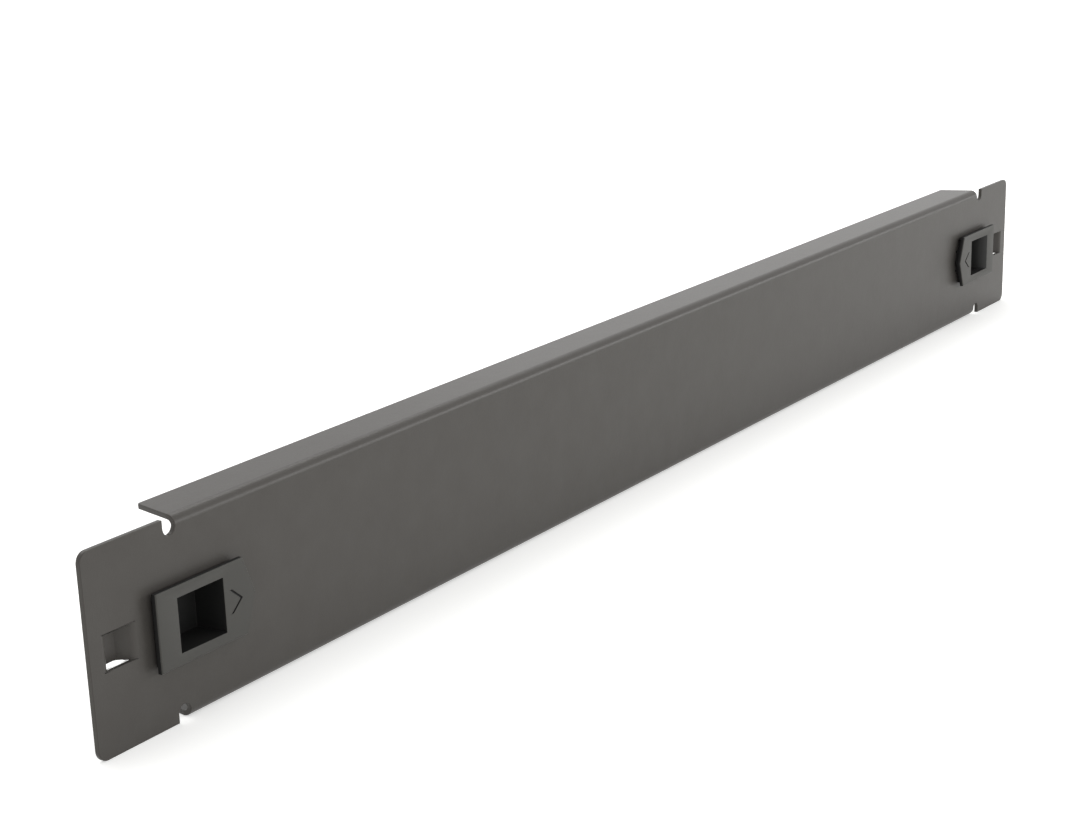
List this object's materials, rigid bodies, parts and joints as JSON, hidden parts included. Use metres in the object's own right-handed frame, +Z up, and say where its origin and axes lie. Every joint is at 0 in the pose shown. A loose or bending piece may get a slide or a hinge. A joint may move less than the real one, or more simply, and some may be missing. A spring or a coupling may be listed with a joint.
{
  "type": "rack blanking panel",
  "caption": "Folded steel panel that closes an empty rack unit, with lanced locating bosses and a sprung slide latch at each end for fixing without tools.",
  "frame": {"origin": "middle of the panel, on the plane where the back of the sheet meets the rack rails", "axes": "+X along the panel to the right as seen from the front, +Y into the rack, +Z up"},
  "size_m": [0.4826, 0.0153, 0.044],
  "materials": {
    "powder_coated_steel": "dark warm grey powder coat, fine texture, satin",
    "slider_plastic": "dark grey moulded plastic, matt",
    "bolt_plastic": "black moulded plastic, matt",
    "spring_steel": "bright spring wire"
  },
  "bodies": {
    "panel": {"panel": "powder_coated_steel", "left_spring": "spring_steel", "right_spring": "spring_steel"},
    "left_latch": {"left_slider": "slider_plastic", "left_bolt": "bolt_plastic"},
    "right_latch": {"right_slider": "slider_plastic", "right_bolt": "bolt_plastic"}
  },
  "joints": [
    {"name": "left_latch_slide", "type": "slide", "parent": "panel", "child": "left_latch", "axis": [1, 0, 0], "range_m": [0, 0.0045], "stiffness_N_per_m": 300, "deforming": ["left_spring"]},
    {"name": "right_latch_slide", "type": "slide", "parent": "panel", "child": "right_latch", "axis": [-1, 0, 0], "range_m": [0, 0.0045], "stiffness_N_per_m": 300, "deforming": ["right_spring"]}
  ]
}
